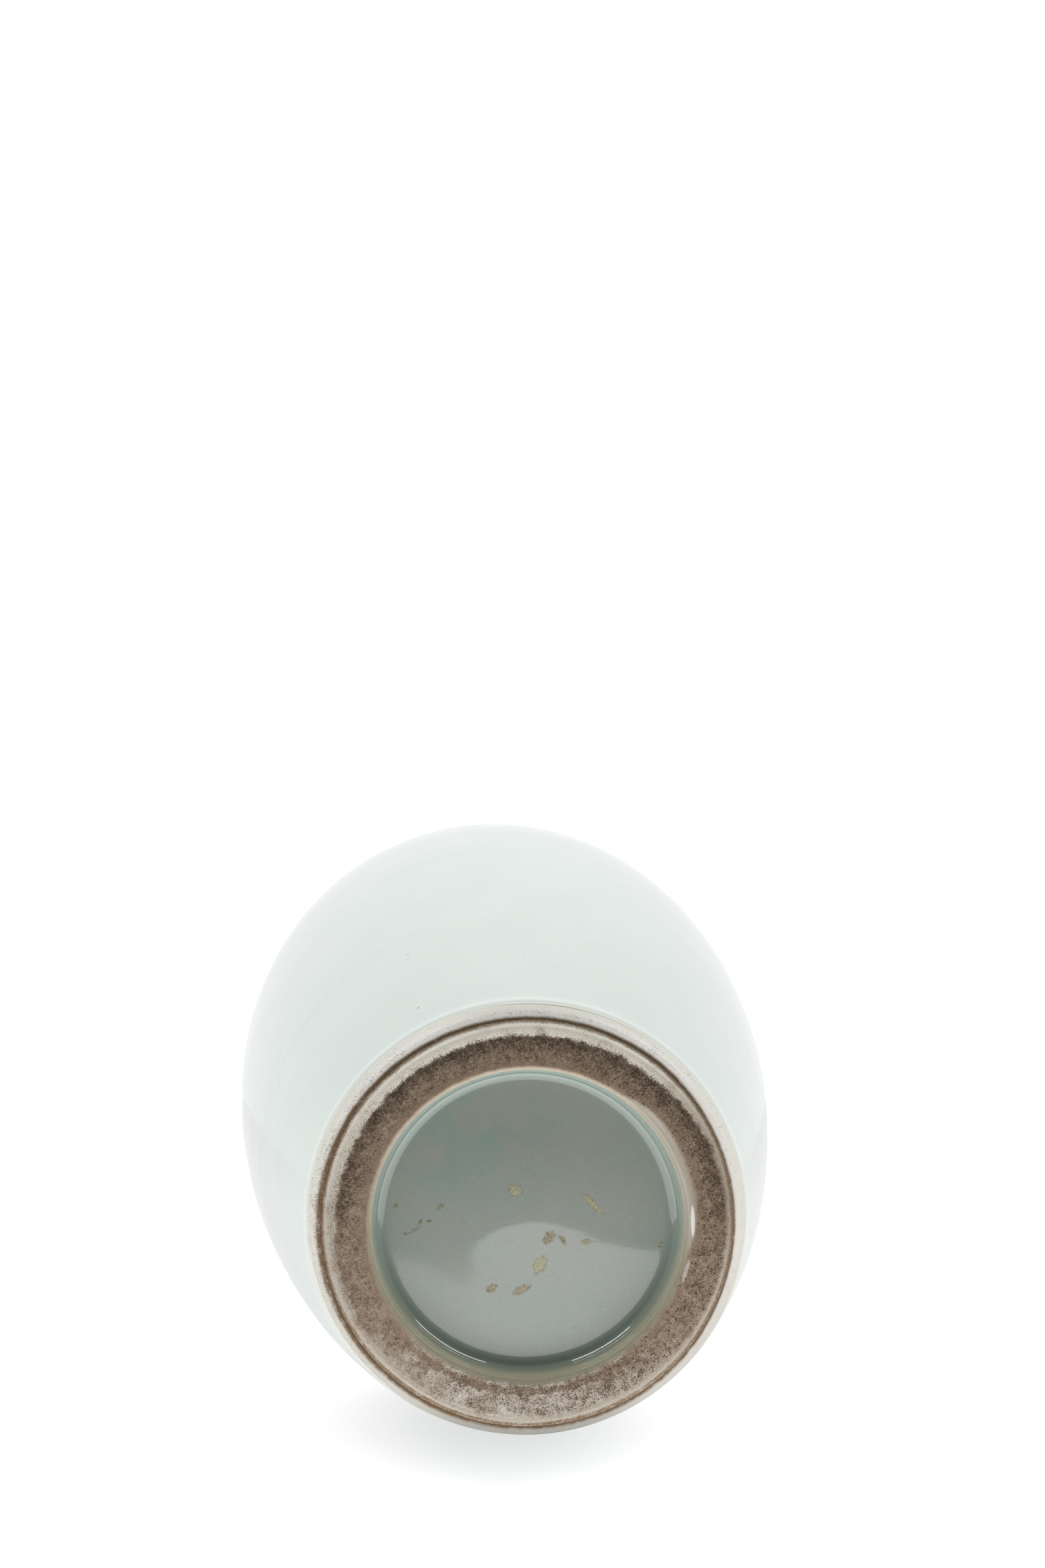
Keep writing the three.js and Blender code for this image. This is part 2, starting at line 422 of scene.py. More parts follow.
def off_line(tree, value, line):
    """How far a value is from a line, on either side of it."""
    return work_out(tree, "ABSOLUTE", work_out(tree, "SUBTRACT", value, line))


def bare_clay(tree):
    """What the tones of the bare ring share: the place on it, its sides, and noise of several sizes."""
    place, radius, height, heading = turned_place(tree)
    top = facing(tree, heading, upper_side)
    right = facing(tree, heading, right_side)
    grain = swing(tree, place, size=0.45 * mm, detail=3.0, seed=5.0)
    crumb = swing(tree, place, size=1.2 * mm, detail=2.0, seed=18.0)
    clump = swing(tree, place, size=2.6 * mm, detail=2.0, seed=12.0)
    patch = swing(tree, place, size=7.0 * mm, detail=2.0, seed=9.0)
    along = mixed(tree, (radius, 1.0), (height, 1.0), (grain, 0.6 * mm), (crumb, 0.8 * mm))
    smooth_turn = math.radians(22.0)
    smooth_side = right_side * math.cos(smooth_turn) + upper_side * math.sin(smooth_turn)
    return SimpleNamespace(
        place=place, radius=radius, height=height, heading=heading, top=top, right=right,
        grain=grain, crumb=crumb, clump=clump, patch=patch,
        lines=ring_noise(tree, heading, along, 0.35 * mm, detail=2.0, seed=3.0),
        # Share of the upper, lit side: clay painted darker where it is low stands for shade.
        clean=rise(tree, mixed(tree, (top, 1.0), (right, -0.15)), -0.1, 0.95),
        smooth=rise(tree, facing(tree, heading, smooth_side), 0.80, 0.98),
        on_tier=rise(tree, height, tier_rise + 0.6 * mm, tier_rise + 1.2 * mm))


def lined_cream(tree, clay):
    """Cream clay with faint turning lines, painted shade on the lower side, and tanned in places."""
    # Each tone is darker on the lower side: painted shade.
    light_cream = tint(tree, clay.clean, (0.43, 0.385, 0.32), (0.83, 0.79, 0.69))
    dark_cream = tint(tree, clay.clean, (0.355, 0.31, 0.25), (0.76, 0.705, 0.605))
    cream = tint(tree, rise(tree, clay.lines, 0.3, 0.7), light_cream, dark_cream)
    along = mixed(tree, (clay.radius, 1.0), (clay.height, 1.0), (clay.clump, 2.5 * mm))
    streaks = ring_noise(tree, clay.heading, along, 1.1 * mm, detail=2.0, seed=4.0)
    streaked = work_out(tree, "MAXIMUM", fall(tree, clay.top, -0.9, -0.4), rise(tree, clay.right, 0.6, 0.95))
    streaks = times(tree, rise(tree, streaks, 0.5, 0.66), streaked)
    by_groove = rise(tree, clay.radius, groove_radius - 1.5 * mm, groove_radius - 0.3 * mm)
    paler = times(tree, work_out(tree, "MAXIMUM", streaks, by_groove), 0.6)
    pale_cream = tint(tree, clay.clean, (0.62, 0.59, 0.53), (0.86, 0.83, 0.75))
    cream = tint(tree, paler, cream, pale_cream)
    tanned = work_out(tree, "MAXIMUM", rise(tree, clay.patch, 0.02, 0.25), rise(tree, clay.right, 0.55, 0.95))
    tan = tint(tree, clay.clean, (0.30, 0.245, 0.18), (0.52, 0.44, 0.34))
    return tint(tree, times(tree, tanned, 0.6), cream, tan)


def white_tier(tree, clay):
    """The upper tier: white, with a painted highlight by the groove, pale yellow by the glaze, and painted
    shade on the lower side.
    """
    by_glaze = rise(tree, clay.radius, groove_radius + 2.4 * mm, groove_radius + 3.6 * mm)
    # The whitest tone, next to the groove, is white clay with a painted highlight.
    white = tint(tree, by_glaze, (0.985, 0.965, 0.90), (0.90, 0.885, 0.79))
    # The lower side is painted darker: painted shade.
    shaded_tier = tint(tree, rise(tree, clay.top, -1.0, -0.8), (0.33, 0.32, 0.285), (0.52, 0.50, 0.455))
    return tint(tree, rise(tree, clay.top, -0.9, 0.9), shaded_tier, white)


def pepper_share(tree, clay):
    """Fine dark pepper: thickest next to the brown, at the left edge, and in a line round the tier."""
    pit_line = fall(tree, off_line(tree, clay.radius, groove_radius + 2.2 * mm), 0.2 * mm, 0.8 * mm)
    pitted = rise(tree, mixed(tree, (clay.top, 1.0), (clay.right, -0.6)), -0.2, 0.5)
    pit_line = times(tree, times(tree, pit_line, clay.on_tier), pitted)
    off_tier = work_out(tree, "SUBTRACT", 1.0, clay.on_tier)
    on_corner = rise(tree, clay.radius, ground_outer - 6.4 * mm, ground_outer - 4.4 * mm)
    on_corner = times(tree, off_tier, on_corner)
    used = times(tree, fall(tree, clay.top, 0.1, 0.9), on_corner)
    by_brown = fall(tree, clay.radius, ground_outer - 0.9 * mm, ground_outer + 2.1 * mm)
    by_brown = times(tree, by_brown, on_corner)
    leftward = fall(tree, mixed(tree, (clay.right, 1.0), (clay.patch, 0.5)), -0.95, -0.35)
    left_edge = rise(tree, clay.radius, ground_outer - 0.9 * mm, ground_outer + 0.1 * mm)
    left_edge = times(tree, leftward, left_edge)
    speck = swing(tree, clay.place, size=0.26 * mm, detail=2.0, seed=17.0)
    peppered = mixed(
        tree, (speck, 1.0), (clay.patch, 0.2), (clay.clump, 0.15), (pit_line, 0.06), (used, 0.02),
        (by_brown, 0.07), (left_edge, 0.045))
    return times(tree, rise(tree, peppered, 0.12, 0.2), 0.85)


def inner_rim(tree, clay):
    """At the ring's inner edge the clay is peach on the upper side, and greyer and in painted shade on the
    lower one.
    """
    grey = (0.37, 0.34, 0.245)
    peach = (0.55, 0.465, 0.36)
    smooth_grey = (0.43, 0.385, 0.315)
    return tint(tree, clay.smooth, tint(tree, clay.clean, grey, peach), smooth_grey)


def flecked_pink(tree, clay, inside):
    """Dark flecks on pinkish clay, thickest in a band near the recess, with pale rubbed places."""
    band = fall(tree, off_line(tree, inside, ground_inner + 2.5 * mm), 0.3 * mm, 1.8 * mm)
    fleck = swing(tree, clay.place, size=0.33 * mm, detail=3.0, seed=15.0)
    flecked = mixed(
        tree, (fleck, 2.2), (clay.clump, 0.7), (clay.patch, 0.35), (clay.top, 0.12), (clay.right, 0.06),
        (band, 0.14))
    rubbed = rise(tree, swing(tree, clay.place, size=4.5 * mm, detail=3.0, seed=16.0), 0.05, 0.2)
    pink = tint(tree, rubbed, (0.45, 0.40, 0.34), (0.62, 0.58, 0.52))
    washed = mixed(
        tree, (clay.clump, 1.0), (clay.patch, 0.6), (fleck, 0.7), (band, 0.32), (clay.top, 0.15),
        (clay.right, 0.08))
    wash_brown = (0.24, 0.18, 0.125)
    fleck_brown = (0.085, 0.05, 0.026)
    pink = tint(tree, times(tree, rise(tree, washed, -0.3, 0.15), 0.75), pink, wash_brown)
    return tint(tree, rise(tree, flecked, -0.26, 0.12), pink, fleck_brown)


def browned_ground(tree, clay):
    """The share of brown on the ground face, with its ragged edges, and its colour.

    Its dark grain is thickest on the upper side along the outer edge. On the lower side the brown is thin."""
    ragged = swing(tree, clay.place, size=4.0 * mm, detail=5.0, seed=13.0)
    drawn_in = rise(tree, clay.right, 0.6, 1.0)
    edge = mixed(tree, (clay.radius, 1.0), (ragged, 4.0 * mm), (clay.grain, 5.0 * mm), (drawn_in, -1.6 * mm))
    outer = fall(tree, edge, ground_outer - 1.5 * mm, ground_outer - 0.4 * mm)
    inside = mixed(tree, (clay.radius, 1.0), (ragged, 1.5 * mm), (clay.smooth, -2.6 * mm))
    ground = times(tree, outer, rise(tree, inside, ground_inner - 0.65 * mm, ground_inner + 1.15 * mm))
    smoked = rise(tree, mixed(tree, (clay.top, 1.0), (clay.right, 0.2)), -2.2, 0.7)
    fringe = rise(tree, edge, ground_outer - 6.9 * mm, ground_outer - 1.9 * mm)
    fringe = times(tree, fringe, rise(tree, clay.top, -0.5, 0.6))
    burnt = mixed(
        tree, (clay.grain, 1.2), (clay.crumb, 0.6), (clay.clump, 0.55), (clay.patch, 0.3), (smoked, 0.19),
        (fringe, 0.17), (rise(tree, clay.right, 0.2, 0.9), -0.02))
    sandy = (0.38, 0.31, 0.235)
    earth_brown = (0.185, 0.128, 0.083)
    soot = (0.034, 0.018, 0.008)
    warm_brown = (0.25, 0.172, 0.115)
    brown = tint(tree, rise(tree, burnt, -0.2, 0.22), sandy, earth_brown)
    brown = tint(tree, rise(tree, burnt, 0.15, 0.45), brown, soot)
    by_recess = times(tree, fall(tree, inside, ground_inner + 0.8 * mm, ground_inner + 3.8 * mm), 0.6)
    brown = tint(tree, by_recess, brown, warm_brown)
    thin = fall(tree, mixed(tree, (clay.top, 1.0), (clay.patch, 0.8)), -1.05, -0.45)
    return ground, tint(tree, thin, brown, flecked_pink(tree, clay, inside))


def iron_specks(tree, clay, ground):
    """Round specks of iron in the brown, thickest on the right."""
    cell = 0.95 * mm
    iron = add_node(tree, "ShaderNodeTexVoronoi", {"Vector": clay.place, "Scale": 1.0 / cell}).outputs
    chance = output_of(tree, "ShaderNodeSeparateColor", {"Color": iron["Color"]})
    beyond_speck = mixed(tree, (iron["Distance"], 1.0), (chance, -0.3))
    share = mixed(tree, (rise(tree, clay.right, -0.3, 0.7), 0.7), (ground, 0.25))
    specks = times(tree, fall(tree, beyond_speck, 0.06, 0.14), share)
    return times(tree, specks, ground)


# Two glaze drops on the inner edge, white as a painted highlight: degrees below the right side, half length
# and share of each.
drops_with_highlight = (
    (-1.5, 5.2 * mm, 0.85),
    (16.3, 4.0 * mm, 0.35),
)
drop_radius = ground_inner + 1.3 * mm
drop_half_width = 0.65 * mm
# The drops' white is a painted highlight.
drop_highlight_white = (0.80, 0.80, 0.77)


def add_drop_highlights(tree, clay, colour):
    """A colour with the drops of glaze over it, painted white as their highlight."""
    for lowered, half_length, share in drops_with_highlight:
        low_turn = math.radians(lowered)
        drop_side = right_side * math.cos(low_turn) + lower_side * math.sin(low_turn)
        round_way = lower_side * math.cos(low_turn) - right_side * math.sin(low_turn)
        off_drop = off_oval(
            tree, clay.place, drop_side * drop_radius, round_way / half_length, drop_side / drop_half_width)
        drop_highlight = fall(tree, mixed(tree, (off_drop, 1.0), (clay.grain, 1.5)), 0.6, 1.1)
        colour = tint(tree, times(tree, drop_highlight, share), colour, drop_highlight_white)
    return colour


def groove_dirt(tree, clay):
    """The share of dirt in the groove: a broad band on the lower side, and a narrow one on the upper side."""
    wavy = swing(tree, clay.place, size=5.0 * mm, seed=8.0)
    far_left = fall(tree, clay.right, -1.0, -0.5)
    far_right = rise(tree, clay.right, 0.6, 1.0)
    from_corner = mixed(
        tree, (clay.radius, 1.0), (wavy, 0.6 * mm), (clay.grain, 1.2 * mm), (clay.top, -0.7 * mm),
        (far_left, -0.4 * mm))
    from_tier = mixed(
        tree, (clay.radius, 1.0), (wavy, 0.6 * mm), (clay.grain, 0.8 * mm), (clay.top, 0.65 * mm),
        (far_right, 0.7 * mm), (far_left, -0.3 * mm))
    over_corner = rise(tree, from_corner, groove_radius - 1.5 * mm, groove_radius - 0.6 * mm)
    over_tier = fall(tree, from_tier, groove_radius + 1.0 * mm, groove_radius + 2.1 * mm)
    return times(tree, over_corner, over_tier)


def add_dirt(tree, clay, dirt, colour):
    """A colour with gritty dirt over it, sooty on the upper side, and darkest in the lower groove with
    painted shade.
    """
    pale_mud = (0.225, 0.142, 0.072)
    dark_mud = (0.12, 0.07, 0.032)
    sooty_mud = (0.095, 0.06, 0.02)
    groove_shade_mud = (0.08, 0.045, 0.019)
    gritted = rise(tree, mixed(tree, (clay.grain, 1.0), (clay.crumb, 0.7)), -0.16, 0.16)
    sooty = times(tree, rise(tree, clay.top, 0.3, 0.95), 0.65)
    mud = tint(tree, sooty, tint(tree, gritted, pale_mud, dark_mud), sooty_mud)
    not_rubbed = rise(tree, mixed(tree, (clay.clump, 1.0), (clay.grain, 0.8), (clay.top, 0.12)), -0.5, 0.0)
    colour = tint(tree, times(tree, dirt, not_rubbed), colour, mud)
    # The groove's dark core on the lower side is dirt with painted shade.
    in_groove = mixed(tree, (clay.radius, 1.0), (clay.top, 0.9 * mm))
    in_groove = fall(tree, in_groove, groove_radius + 0.3 * mm, groove_radius + 1.0 * mm)
    groove_shade_and_dirt = times(tree, in_groove, rise(tree, clay.height, corner_rise + 0.4 * mm, tier_rise))
    groove_shade_and_dirt = times(tree, groove_shade_and_dirt, fall(tree, clay.top, -0.5, 0.4))
    return tint(tree, times(tree, groove_shade_and_dirt, 0.85), colour, groove_shade_mud)


def browned_biscuit():
    """Bare clay: browned and speckled on the ground face, peppered cream on the tiers, dirt in the groove."""
    finish, tree, shader = new_finish("foot_biscuit")
    clay = bare_clay(tree)
    pepper_brown = (0.15, 0.085, 0.04)
    iron_brown = (0.06, 0.03, 0.014)
    colour = tint(tree, clay.on_tier, lined_cream(tree, clay), white_tier(tree, clay))
    colour = tint(tree, pepper_share(tree, clay), colour, pepper_brown)
    by_rim = fall(tree, clay.radius, ground_inner + 0.3 * mm, ground_inner + 2.6 * mm)
    colour = tint(tree, by_rim, colour, inner_rim(tree, clay))
    ground, brown = browned_ground(tree, clay)
    colour = tint(tree, ground, colour, brown)
    colour = tint(tree, iron_specks(tree, clay, ground), colour, iron_brown)
    colour = add_drop_highlights(tree, clay, colour)
    dirt = groove_dirt(tree, clay)
    colour = add_dirt(tree, clay, dirt, colour)
    tree.links.new(colour, shader.inputs["Base Color"])
    dusty = work_out(tree, "MAXIMUM", ground, dirt)
    dull = work_out(tree, "ADD", 0.32, times(tree, dusty, 0.48))
    tree.links.new(dull, shader.inputs["Roughness"])
    relief = mixed(tree, (times(tree, clay.grain, ground), 1.0), (clay.lines, 0.3))
    roughen(tree, shader, relief, distance=0.1 * mm, strength=0.5)
    return finish


foot = turn(
    "turned_foot_ring", foot_outline(), browned_biscuit(), sides=360, ring_height=0.08 * mm,
    ring_spacing=1.6 * mm, unevenness=0.25 * mm, unevenness_size=25.0 * mm)
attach(foot, "root")
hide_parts("foot_ring")


# Glaze under the base
# Celadon brushed into the recess inside the foot ring, thick and green in the cove, thin and cream at its
# edge. It fired glossy over a floor that is not quite flat, and old yellow residue clings to it.

cove_width = 5.0 * mm
floor_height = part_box("base_glaze")[1].z - coat
cove_start = bevel_rise + 2.5 * mm
cove_rise = floor_height - cove_start
floor_radius = recess_radius - cove_width


def base_outline():
    """The coat from the middle of its floor down the cove to a rolled edge, and back along the clay."""
    def surface(depth, floor_steps, cove_steps):
        cove = round_stretch(
            (floor_radius, cove_start), cove_width + depth, cove_rise + depth, 90.0, 0.0, cove_steps)
        floor = straight_stretch((0.0, floor_height + depth), cove[0], floor_steps)
        edge = straight_stretch(cove[-1], (recess_radius + depth, bevel_rise + coat / 2), steps=4)
        return floor + cove[1:] + edge[1:]

    roll_middle = (recess_radius + coat / 2, bevel_rise + coat / 2)
    roll = round_stretch(roll_middle, coat / 2, coat / 2, 180.0, 360.0, steps=6)
    front = surface(0.0, floor_steps=40, cove_steps=28)
    back = surface(coat, floor_steps=12, cove_steps=10)
    return front + roll[1:-1] + back[::-1]


# Residue on the base: how far right of and above the middle, half its length and half its width, all in
# millimetres, then its slant in degrees and how pale it is.
residue = (
    (-3.6, 9.1, 3.3, 3.0, 0.0, 0.8),
    (20.6, 4.8, 6.8, 1.7, -47.0, 0.8),
    (-37.6, -4.4, 1.6, 0.8, 20.0, 0.0),
    (-35.0, -3.2, 2.6, 0.8, 34.0, 0.3),
    (-33.6, -1.0, 1.8, 0.8, 62.0, 0.0),
    (-30.7, -0.6, 1.6, 0.7, 15.0, 0.1),
    (-27.2, 3.9, 2.3, 1.1, 40.0, 0.0),
    (-41.3, 4.3, 1.4, 0.9, 20.0, 0.3),
    (7.0, -6.0, 3.2, 2.4, 40.0, 0.5),
    (11.4, -6.9, 2.6, 1.2, -50.0, 0.5),
    (18.5, -7.3, 2.4, 1.2, 5.0, 0.7),
    (4.2, -14.7, 4.7, 2.8, 65.0, 1.0),
    (-11.0, -22.2, 2.6, 1.8, 30.0, 0.6),
    (-1.5, -22.6, 4.2, 2.0, 25.0, 0.7),
    (42.0, -8.4, 1.8, 0.9, 60.0, 0.5),
)


def recess_green(tree, place):
    """The green of the floor: bluish in one place, clouded with grey, and painted paler on the lower side as
    light.
    """
    cool_green = (0.268, 0.318, 0.278)
    warm_green = (0.305, 0.318, 0.27)
    blue_green = (0.215, 0.305, 0.27)
    cloud_grey = (0.315, 0.308, 0.265)
    lit_pale_green = (0.40, 0.445, 0.415)
    dark_green = (0.14, 0.165, 0.145)
    above = facing(tree, place, upper_side)
    haze = mixed(tree, (swing(tree, place, size=20.0 * mm, seed=21.0), 1.0), (above, 2.0))
    green = tint(tree, rise(tree, haze, -0.2, 0.2), cool_green, warm_green)
    bluish_middle = (left_side * 20.0 + upper_side * 22.0) * mm
    bluish_middle.z = floor_height
    off_bluish = work_out_vector(tree, "DISTANCE", place, bluish_middle)
    bluish = swing(tree, place, size=13.0 * mm, detail=4.0, seed=27.0)
    bluish = mixed(tree, (bluish, 1.0), (off_bluish, -12.0))
    green = tint(tree, rise(tree, bluish, -0.45, 0.15), green, blue_green)
    cloud = rise(tree, swing(tree, place, size=12.0 * mm, detail=4.0, seed=22.0), -0.05, 0.2)
    green = tint(tree, times(tree, cloud, 0.7), green, cloud_grey)
    # The lower side is painted paler, most of all next to the ring: painted light.
    low = fall(tree, above, -5.0 * mm, 30.0 * mm)
    lit_lowest = fall(tree, above, -42.0 * mm, -22.0 * mm)
    green = tint(tree, mixed(tree, (low, 0.42), (lit_lowest, 0.35)), green, lit_pale_green)
    fine = rise(tree, swing(tree, place, size=0.35 * mm, detail=2.0, seed=26.0), -0.25, 0.25)
    return tint(tree, times(tree, fine, 0.25), green, dark_green)


def add_cove(tree, radius, height, top, colour):
    """A colour with the cove round it: pooled glaze, painted shade on the lower side, and thin glaze towards
    the rim.
    """
    pooled = rise(tree, radius, floor_radius - 1.0 * mm, floor_radius + 2.5 * mm)
    # On the lower side the pool and the bare edge are painted darker: painted shade.
    shaded_lower_side = fall(tree, top, -0.7, 0.6)
    pool = tint(tree, shaded_lower_side, (0.285, 0.35, 0.31), (0.155, 0.20, 0.165))
    colour = tint(tree, pooled, colour, pool)
    thin = mixed(tree, (height, 1.0), (shaded_lower_side, -1.2 * mm))
    thin = fall(tree, thin, bevel_rise + 1.6 * mm, cove_start + 4.8 * mm)
    wall = tint(tree, shaded_lower_side, (0.47, 0.54, 0.485), (0.50, 0.475, 0.345))
    colour = tint(tree, thin, colour, wall)
    # A thin dark line where the cove bends, on the upper side: painted shade.
    shade_line = fall(tree, off_line(tree, radius, floor_radius + 2.7 * mm), 0.04 * mm, 0.2 * mm)
    shade_line = times(tree, shade_line, rise(tree, top, 0.1, 0.5))
    shade_line_green = (0.12, 0.19, 0.17)
    colour = tint(tree, times(tree, shade_line, 0.6), colour, shade_line_green)
    bare = fall(tree, height, bevel_rise, bevel_rise + 0.9 * mm)
    bare_edge = tint(tree, shaded_lower_side, (0.55, 0.465, 0.36), (0.45, 0.41, 0.29))
    return tint(tree, bare, colour, bare_edge)


def residue_reach(tree, place):
    """How near a place is to the middle of some residue, from 0 to 1, and how pale the residue is there."""
    near = 0.0
    paleness = 0.0
    for across, upward, half_length, half_width, slant, pale in residue:
        centre = (right_side * across + upper_side * upward) * mm
        turned = math.radians(slant)
        long_way = (right_side * math.cos(turned) + upper_side * math.sin(turned)) / (half_length * mm)
        short_way = (upper_side * math.cos(turned) - right_side * math.sin(turned)) / (half_width * mm)
        stain = fall(tree, off_oval(tree, place, centre, long_way, short_way), 0.0, 1.0)
        near = work_out(tree, "MAXIMUM", stain, near)
        paleness = work_out(tree, "MAXIMUM", times(tree, stain, pale), paleness)
    return near, paleness


def base_celadon():
    """Glossy green glaze with a few pits, and residue: a yellow halo, and crumbs of dark and pale grains."""
    finish, tree, shader = new_finish("base_celadon")
    place, radius, height, heading = turned_place(tree)
    pit_grey = (0.16, 0.18, 0.16)
    halo_yellow = (0.30, 0.275, 0.165)
    dark_crust = (0.075, 0.055, 0.02)
    pale_crust = (0.56, 0.50, 0.29)
    colour = recess_green(tree, place)
    colour = add_cove(tree, radius, height, facing(tree, heading, upper_side), colour)
    pits = rise(tree, clouds(tree, place, size=1.0 * mm, detail=1.0, seed=25.0), 0.745, 0.78)
    colour = tint(tree, times(tree, pits, 0.6), colour, pit_grey)
    near, paleness = residue_reach(tree, place)
    crumble = swing(tree, place, size=1.1 * mm, detail=4.0, seed=23.0)
    halo = rise(tree, mixed(tree, (near, 0.5), (crumble, 1.4)), 0.08, 0.45)
    colour = tint(tree, times(tree, halo, 0.5), colour, halo_yellow)
    bits = swing(tree, place, size=0.32 * mm, detail=2.0, seed=28.0)
    crumbs = rise(tree, mixed(tree, (near, 0.3), (crumble, 0.6), (bits, 1.0)), 0.14, 0.26)
    crumbs = times(tree, crumbs, halo)
    grains = swing(tree, place, size=0.22 * mm, detail=1.0, seed=29.0)
    grains = rise(tree, mixed(tree, (grains, 1.5), (paleness, 0.35)), 0.13, 0.36)
    crust = tint(tree, grains, dark_crust, pale_crust)
    colour = tint(tree, times(tree, crumbs, 0.8), colour, crust)
    tree.links.new(colour, shader.inputs["Base Color"])
    dull_side = rise(tree, facing(tree, place, left_side), 8.0 * mm, 30.0 * mm)
    dull = mixed(tree, (crumbs, 0.5), (dull_side, 0.04), (1.0, 0.03))
    tree.links.new(dull, shader.inputs["Roughness"])
    shader.inputs["IOR"].default_value = 1.6
    peel = clouds(tree, place, size=0.8 * mm, detail=1.0, seed=24.0)
    relief = work_out(tree, "ADD", peel, times(tree, crumbs, 2.0))
    roughen(tree, shader, relief, distance=0.009 * mm, strength=0.25)
    return finish


# The floor sags in three shallow hollows, one on the lower side and two on the left.
floor_middle = Vector((0.0, 0.0, floor_height))
base = turn(
    "recess_glaze", base_outline(), base_celadon(), sides=288,
    unevenness=0.08 * mm, unevenness_size=26.0 * mm, hollow_reach=17.2 * mm,
    first_depth=0.5 * mm, second_depth=0.355 * mm, third_depth=0.26 * mm,
    first_hollow=floor_middle + (right_side * 2.1 + lower_side * 21.7) * mm,
    second_hollow=floor_middle + (left_side * 20.0 + upper_side * 14.0) * mm,
    third_hollow=floor_middle + (left_side * 19.3 + lower_side * 10.3) * mm)
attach(base, "root")
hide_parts("base_glaze")


# Glaze outside
# Pale celadon over the whole body, from the foot's upper tier over the shoulder and neck to the crest of the
# lip. It shows the soft rings of throwing, a few pits, and a cream line where it thins at the foot.

belly_low, belly_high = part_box("belly_seam")
belly_height = (belly_low.z + belly_high.z) / 2
belly_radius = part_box("outer_glaze")[1].x
edge_radius = foot_radius + coat
neck_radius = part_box("neck_seam")[1].x + clay_depth
upper_arc = 544.0 * mm
upper_rise = 70.0 * mm
shoulder_arc = 62.0 * mm
neck_root_arc = 22.0 * mm
flare_arc = 30.0 * mm
flare_lean = 50.0
neck_length = 11.0 * mm
clay_wall = 6.0 * mm
whole_wall = 2 * clay_depth + clay_wall


def beyond(start, distance, angle):
    """The point at a distance and an angle in degrees from another, in radius and height."""
    turned = math.radians(angle)
    return (start[0] + distance * math.cos(turned), start[1] + distance * math.sin(turned))


belly_rise = belly_height - step_top
belly_swell = belly_radius - edge_radius
lower_arc = (belly_rise ** 2 + belly_swell ** 2) / (2 * belly_swell)
lower_centre = (belly_radius - lower_arc, belly_height)
upper_centre = (belly_radius - upper_arc, belly_height)
upper_lean = math.degrees(math.asin(upper_rise / upper_arc))
shoulder_centre = beyond(upper_centre, upper_arc - shoulder_arc, upper_lean)
shoulder_reach = (neck_radius + neck_root_arc - shoulder_centre[0]) / (shoulder_arc + neck_root_arc)
shoulder_lean = math.degrees(math.acos(shoulder_reach))
neck_root_centre = beyond(shoulder_centre, shoulder_arc + neck_root_arc, shoulder_lean)
flare_centre = (neck_radius + flare_arc, neck_root_centre[1] + neck_length)
lip_round = whole_wall / 2
lip_centre = beyond(flare_centre, flare_arc + lip_round, 180.0 - flare_lean)


def wall_surface(depth, bottom, fineness):
    """The wall from a height near the foot to the end of the flare, at a depth below the outer surface."""
    lower = lower_arc - depth
    upper = upper_arc - depth
    foot_stretch = 14.0 * mm
    start = math.degrees(math.asin((bottom - belly_height) / lower))
    middle = math.degrees(math.asin((bottom + foot_stretch - belly_height) / lower))

    def steps(count):
        return max(2, round(count * fineness))

    points = round_stretch(lower_centre, lower, lower, start, middle, steps(24))
    points += round_stretch(lower_centre, lower, lower, middle, 0.0, steps(60))[1:]
    points += round_stretch(upper_centre, upper, upper, 0.0, upper_lean, steps(18))[1:]
    bend = shoulder_arc - depth
    points += round_stretch(shoulder_centre, bend, bend, upper_lean, shoulder_lean, steps(24))[1:]
    bend = neck_root_arc + depth
    points += round_stretch(neck_root_centre, bend, bend, 180.0 + shoulder_lean, 180.0, steps(14))[1:]
    bend = flare_arc + depth
    points += round_stretch(flare_centre, bend, bend, 180.0, 180.0 - flare_lean, steps(14))
    return points


def outer_outline():
    """The coat from its edge at the foot up the wall to the crest of the lip, and back along the clay."""
    under = lip_round - coat
    lip = round_stretch(lip_centre, lip_round, lip_round, -flare_lean, 90.0, steps=18)[1:]
    under_lip = round_stretch(lip_centre, under, under, -flare_lean, 90.0, steps=9)[1:]
    roll = round_stretch((edge_radius - coat / 2, step_top), coat / 2, coat / 2, 180.0, 360.0, steps=8)
    outside = wall_surface(0.0, step_top, fineness=1.0) + lip
    back = wall_surface(coat, step_top, fineness=0.5) + under_lip

    # The glaze gathered in a low roll before it stopped at the foot: its first stretch swells out.
    swell = 0.32 * mm
    swell_height = step_top + 2.4 * mm
    swell_reach = 3.0 * mm
    swollen = []
    for radius, height in roll[1:-1] + outside:
        away = (height - swell_height) / swell_reach
        swollen.append((radius + swell * math.exp(-away * away), height))
    return swollen + back[::-1]


# Pits in the glaze: height in mm, degrees round from the upper side towards the right, and size in mm.
pits_outside = (
    (81.9, -26.3, 1.0),
    (64.4, -20.3, 0.6),
    (29.3, -27.8, 1.1),
    (92.7, -70.3, 1.0),
    (79.8, -67.1, 0.8),
    (121.2, 12.7, 0.7),
    (182.5, -33.0, 0.9),
    (13.2, 2.5, 0.6),
    (14.5, 6.5, 0.5),
    (12.9, 16.5, 0.8),
    (90.0, 27.6, 0.6),
)


